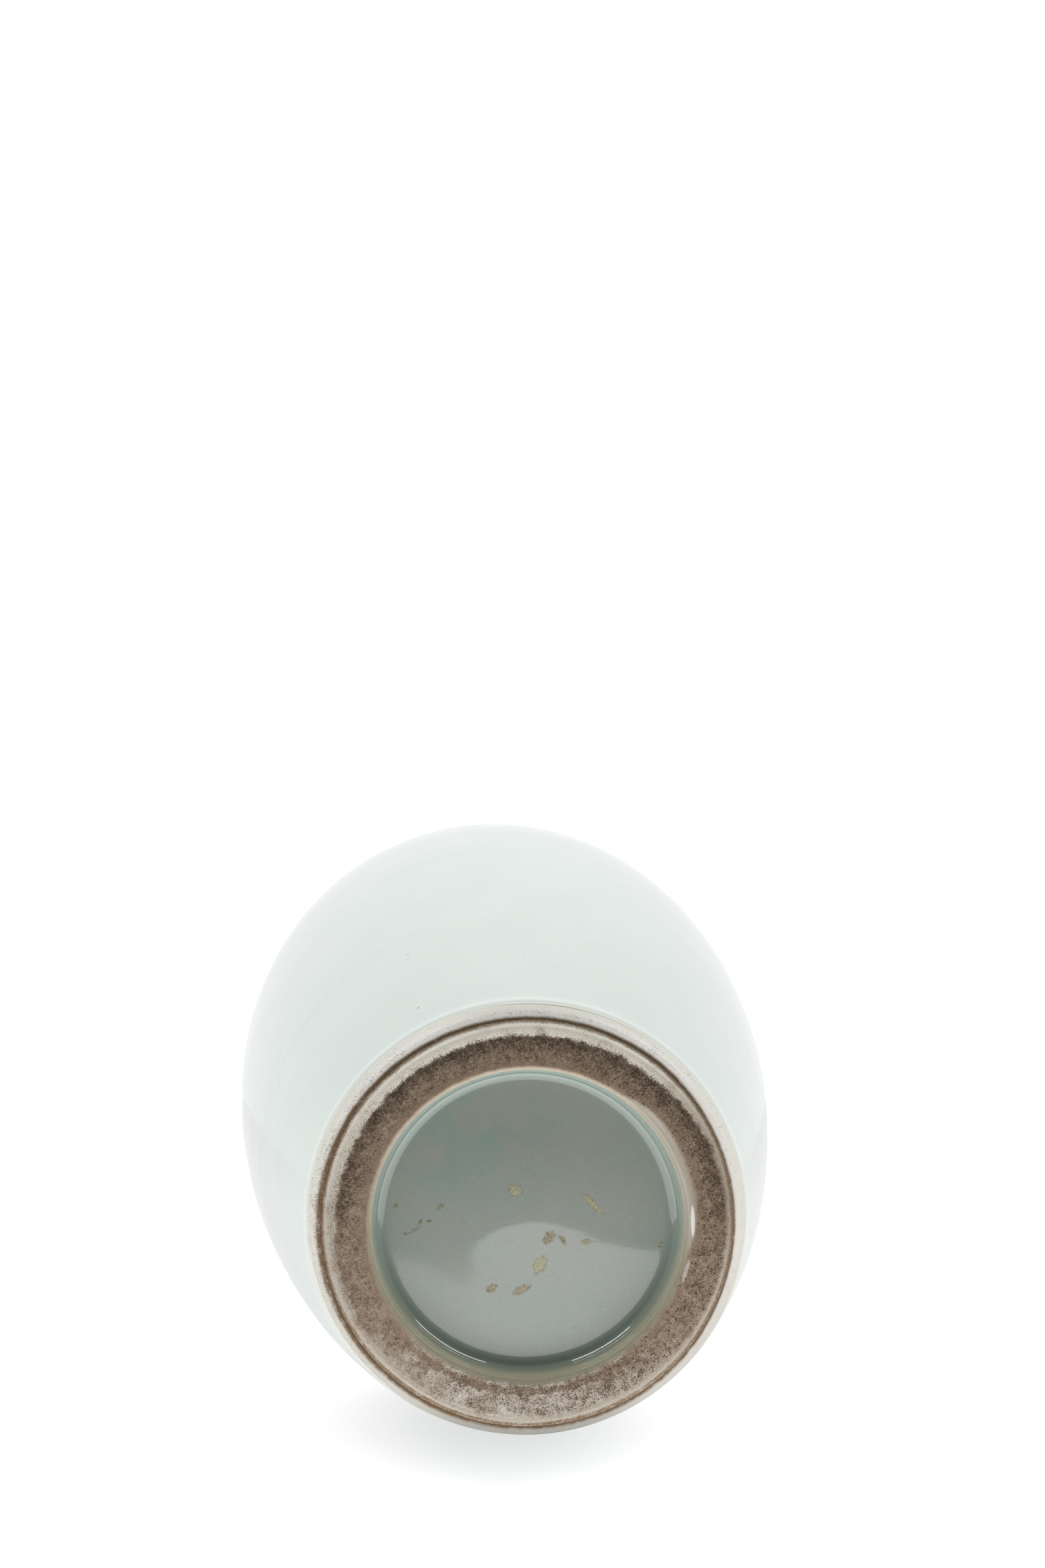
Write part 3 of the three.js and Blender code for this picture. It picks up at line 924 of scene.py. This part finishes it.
def add_foot_line(tree, place, height, heading, colour):
    """A colour with the coat's end at the foot: a pale band, a pool in it and a thin cream edge, painted dark
    below as shade.
    """
    wander = times(tree, clouds(tree, place, size=9.0 * mm, seed=33.0), 0.8 * mm)
    above = work_out(tree, "SUBTRACT", work_out(tree, "ADD", height, wander), step_top)
    # On the lower side the pool and the edge are painted dark: painted shade.
    shaded_underside = fall(tree, facing(tree, heading, upper_side), -0.98, -0.7)
    band = (0.76, 0.79, 0.75)
    colour = tint(tree, fall(tree, above, 4.0 * mm, 7.0 * mm), colour, band)
    pool = tint(tree, shaded_underside, (0.60, 0.685, 0.62), (0.16, 0.21, 0.185))
    colour = tint(tree, fall(tree, above, 1.6 * mm, 3.8 * mm), colour, pool)
    edge = tint(tree, shaded_underside, (0.78, 0.77, 0.68), (0.19, 0.225, 0.20))
    return tint(tree, fall(tree, above, 0.5 * mm, 1.5 * mm), colour, edge)


def pit_dot(tree, place, pit_height, pit_angle, size):
    """1 in a ragged pit in the lower half of the body, and 0 outside it."""
    bend = math.radians(pit_angle)
    reach = math.sqrt(lower_arc ** 2 - (pit_height * mm - belly_height) ** 2)
    centre = upper_side * math.cos(bend) + right_side * math.sin(bend)
    centre *= belly_radius - lower_arc + reach
    centre.z = pit_height * mm
    away = work_out_vector(tree, "DISTANCE", place, centre)
    ragged = mixed(tree, (away, 1.0), (swing(tree, place, size=0.8 * mm, seed=35.0), size * mm))
    return fall(tree, ragged, 0.25 * size * mm, 0.6 * size * mm)


def pale_celadon(name, pits, ends_at_foot):
    """Pale glossy glaze with throwing rings, soft clouds and pits, and its edge where it ends at the foot."""
    finish, tree, shader = new_finish(name)
    place, _, height, heading = turned_place(tree)
    warm_green = (0.70, 0.77, 0.735)
    cool_green = (0.67, 0.755, 0.715)
    ring_green = (0.60, 0.71, 0.66)
    pit_grey = (0.20, 0.20, 0.17)
    rings = ring_noise(tree, heading, height, 18.0 * mm, detail=2.0, seed=31.0)
    haze = clouds(tree, place, size=40.0 * mm, detail=3.0, seed=32.0)
    colour = tint(tree, rise(tree, haze, 0.35, 0.65), warm_green, cool_green)
    colour = tint(tree, times(tree, rise(tree, rings, 0.54, 0.74), 0.6), colour, ring_green)
    if ends_at_foot:
        colour = add_foot_line(tree, place, height, heading, colour)
    dots = rise(tree, clouds(tree, place, size=1.6 * mm, detail=1.0, seed=34.0), 0.80, 0.83)
    for pit in pits:
        dots = work_out(tree, "MAXIMUM", pit_dot(tree, place, *pit), dots)
    colour = tint(tree, times(tree, dots, 0.75), colour, pit_grey)
    tree.links.new(colour, shader.inputs["Base Color"])
    shader.inputs["Roughness"].default_value = 0.1
    shader.inputs["IOR"].default_value = 1.5
    peel = clouds(tree, place, size=2.2 * mm, detail=2.0, seed=36.0)
    relief = work_out(tree, "ADD", times(tree, peel, 0.2), rings)
    relief = work_out(tree, "SUBTRACT", relief, times(tree, dots, 0.5))
    roughen(tree, shader, relief, distance=0.2 * mm, strength=0.15)
    return finish


outside_finish = pale_celadon("celadon_outside", pits_outside, ends_at_foot=True)
coat_outside = turn(
    "body_glaze", outer_outline(), outside_finish, sides=288,
    ring_height=0.25 * mm, ring_spacing=16.0 * mm, unevenness=0.5 * mm, unevenness_size=70.0 * mm)
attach(coat_outside, "root")
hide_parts("outer_glaze")


# Glaze inside
# The same celadon, poured in, swilled round and tipped out. It lines the base disc, the wall and the neck,
# and meets the outer coat at the crest of the lip.

def inner_outline():
    """The coat from the middle of the base along the clay to the lip's crest, and back along its surface."""
    def lip(depth):
        bend = lip_round - depth
        return round_stretch(lip_centre, bend, bend, 180.0 - flare_lean, 90.0, steps=10)[1:]

    back_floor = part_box("inner_glaze")[0].z
    floor = back_floor + coat
    back = wall_surface(whole_wall - coat, back_floor, fineness=0.4)
    wall = wall_surface(whole_wall, floor, fineness=0.7)
    back_base = straight_stretch((0.0, back_floor), back[0], steps=8)
    base_inside = straight_stretch((0.0, floor), wall[0], steps=14)
    back_run = back_base + back[1:] + lip(coat)
    front_run = base_inside + wall[1:] + lip(0.0)
    return back_run + front_run[::-1]


inside_finish = pale_celadon("celadon_inside", (), ends_at_foot=False)
coat_inside = turn(
    "lining_glaze", inner_outline(), inside_finish, sides=192,
    ring_height=0.5 * mm, ring_spacing=14.0 * mm)
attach(coat_inside, "root")
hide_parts("inner_glaze")


# Stage
# A white table that the lying vase touches with its belly, and a white shelf under the standing vase. Each
# shows its upper face only and lets other light by. The shelf doesn't show in the glaze, because it would
# hide the room from the recess that stands over it.

def stage_sheet(name, origin, first, second, finish):
    """A flat sheet from two edge vectors. Its upper face is on the side of first x second."""
    corners = [origin, origin + first, origin + first + second, origin + second]
    mesh = bpy.data.meshes.new(name)
    mesh.from_pydata(corners, [], [(0, 1, 2, 3)])
    mesh.materials.append(finish)
    sheet = bpy.data.objects.new(name, mesh)
    bpy.context.scene.collection.objects.link(sheet)


# The shade under the foot of the lying vase is an oval on the table, which is fully lit past its edge.
shade_middle = (left_side * 18.0 + up * 115.0) * mm
shade_half_width = 115.0 * mm
shade_half_length = 90.0 * mm
fully_lit = 1.1


def white_sheet(name, paint, glow, shaded_glow, mirrored_glow):
    """White paint that shows one face to the camera, with less glow in the shade.

    It shows in the glaze too if it has a mirrored glow."""
    finish, tree = empty_finish(name)
    finish.cycles.emission_sampling = "NONE"
    path = add_node(tree, "ShaderNodeLightPath", {}).outputs
    behind = add_node(tree, "ShaderNodeNewGeometry", {}).outputs["Backfacing"]
    seen = path["Is Camera Ray"]
    if mirrored_glow > 0.0:
        for ray in ("Is Glossy Ray", "Is Transmission Ray", "Is Diffuse Ray"):
            seen = work_out(tree, "MAXIMUM", seen, path[ray])
    seen = times(tree, seen, work_out(tree, "SUBTRACT", 1.0, behind))
    across = right_side / shade_half_width
    along = up / shade_half_length
    off_shade = off_oval(tree, object_place(tree), shade_middle, across, along)
    lit_share = work_out(tree, "MINIMUM", work_out(tree, "DIVIDE", off_shade, fully_lit), 1.0)
    strength = work_out(tree, "ADD", shaded_glow, times(tree, lit_share, glow - shaded_glow))
    direct = work_out(tree, "SUBTRACT", strength, mirrored_glow)
    strength = work_out(tree, "ADD", times(tree, path["Is Camera Ray"], direct), mirrored_glow)
    pinkish_white = (paint, 0.965 * paint, 0.975 * paint, 1.0)
    matt = output_of(tree, "ShaderNodeBsdfDiffuse", {"Color": pinkish_white})
    lit = output_of(tree, "ShaderNodeEmission", {"Strength": strength})
    white = output_of(tree, "ShaderNodeAddShader", {0: matt, 1: lit})
    clear = output_of(tree, "ShaderNodeBsdfTransparent", {})
    shown = output_of(tree, "ShaderNodeMixShader", {0: seen, 1: clear, 2: white})
    add_node(tree, "ShaderNodeOutputMaterial", {"Surface": shown})
    return finish


table_back = 0.75
table_half = 0.6
table_front = -0.08
table_gap = 0.4 * mm
table_paint = white_sheet("white_table", paint=0.67, glow=0.78, shaded_glow=0.47, mirrored_glow=0.27)
table_corner = lower_side * (belly_radius + table_gap) + left_side * table_half + up * table_front
table_across = right_side * 2 * table_half
table_along = up * (table_back - table_front)
stage_sheet("white_table", table_corner, table_across, table_along, table_paint)
shelf_half = 1.5
shelf_paint = white_sheet("white_shelf", paint=0.67, glow=0.45, shaded_glow=0.45, mirrored_glow=0.0)
shelf_corner = Vector((-shelf_half, -shelf_half, 0.0))
shelf_across = Vector((2 * shelf_half, 0.0, 0.0))
shelf_along = Vector((0.0, 2 * shelf_half, 0.0))
stage_sheet("white_shelf", shelf_corner, shelf_across, shelf_along, shelf_paint)

# Light: a bright plain room that is dim before the foot, two soft lamps over it, and a broad low light that
# stands for the bright table before the foot. It shows as a pale patch in the recess.
room = bpy.data.worlds.new("pale_room")
bpy.context.scene.world = room
room.use_nodes = True
tree = room.node_tree
tree.nodes.clear()
outward = add_node(tree, "ShaderNodeTexCoord", {}).outputs["Generated"]
side_light = (0.93, 0.93, 0.93)
overhead_light = (1.12, 1.12, 1.12)
dim_light = (0.08, 0.08, 0.08)
seen_white = (1.0, 1.0, 1.0)
dim_tilt = math.radians(8.0)
dim_side = upper_side * math.sin(dim_tilt) - up * math.cos(dim_tilt)
overhead = rise(tree, facing(tree, outward, upper_side), -0.2, 0.9)
light = tint(tree, overhead, side_light, overhead_light)
dim = rise(tree, facing(tree, outward, dim_side), -0.05, 0.75)
light = tint(tree, dim, light, dim_light)
path = add_node(tree, "ShaderNodeLightPath", {}).outputs
light = tint(tree, path["Is Camera Ray"], light, seen_white)
room_glow = output_of(tree, "ShaderNodeBackground", {"Color": light, "Strength": 1.0})
add_node(tree, "ShaderNodeOutputWorld", {"Surface": room_glow})


def set_up(name, data, place, axes):
    """Puts a lamp or a camera at a place, with its X, Y and Z axes along three unit vectors."""
    holder = bpy.data.objects.new(name, data)
    holder.matrix_world = Matrix.Translation(place) @ Matrix(axes).transposed().to_4x4()
    bpy.context.scene.collection.objects.link(holder)
    return holder


def soft_lamp(name, place, toward, width, length, radiance):
    """A flat lamp that the camera doesn't see. Its width lies across the vase's axis."""
    lamp = bpy.data.lights.new(name, "AREA")
    lamp.shape = "RECTANGLE"
    lamp.size = width
    lamp.size_y = length
    lamp.energy = radiance * math.pi * width * length
    back = -toward
    side = up.cross(back).normalized()
    holder = set_up(name, lamp, place, (side, back.cross(side), back))
    holder.visible_camera = False


lamp_distance = 1.3
lamp_tilt = math.radians(82.0)
lamp_area = 0.055
lamp_radiance = 18.0
for name, degrees_right, lamp_width in (("lamp_upper_right", 40.0, 0.86), ("lamp_upper_left", -34.5, 0.72)):
    lamp_turn = math.radians(degrees_right)
    lamp_side = upper_side * math.cos(lamp_turn) + right_side * math.sin(lamp_turn)
    lamp_way = lamp_side * math.sin(lamp_tilt) - up * math.cos(lamp_tilt)
    soft_lamp(name, lamp_way * lamp_distance, -lamp_way, lamp_width, lamp_area / lamp_width, lamp_radiance)
glare_front = -0.367
glare_back = -0.02
glare_width = 0.75
glare_radiance = 1.82
glare_place = lower_side * belly_radius + up * (glare_front + glare_back) / 2
soft_lamp("table_glare", glare_place, upper_side, glare_width, glare_back - glare_front, glare_radiance)


# Camera
# The picture looks at the foot of the lying vase from a little above, with a long lens.

camera_back = 1.33085
camera_rise = 0.2848
camera_left = 0.0624
look_down = math.radians(6.265)
look_right = math.radians(2.575)
camera_roll = math.radians(0.28)
ahead = up * math.cos(look_right) + right_side * math.sin(look_right)
ahead = ahead * math.cos(look_down) + lower_side * math.sin(look_down)
level = ahead.cross(upper_side).normalized()
over = level.cross(ahead)
camera_x = level * math.cos(camera_roll) + over * math.sin(camera_roll)
camera_y = camera_x.cross(ahead)
camera = bpy.data.cameras.new("camera")
camera.lens = 100.0
camera.sensor_width = 36.0
viewer_place = upper_side * camera_rise + left_side * camera_left - up * camera_back
bpy.context.scene.camera = set_up("camera", camera, viewer_place, (camera_x, camera_y, -ahead))
bpy.context.scene.view_settings.view_transform = "Standard"
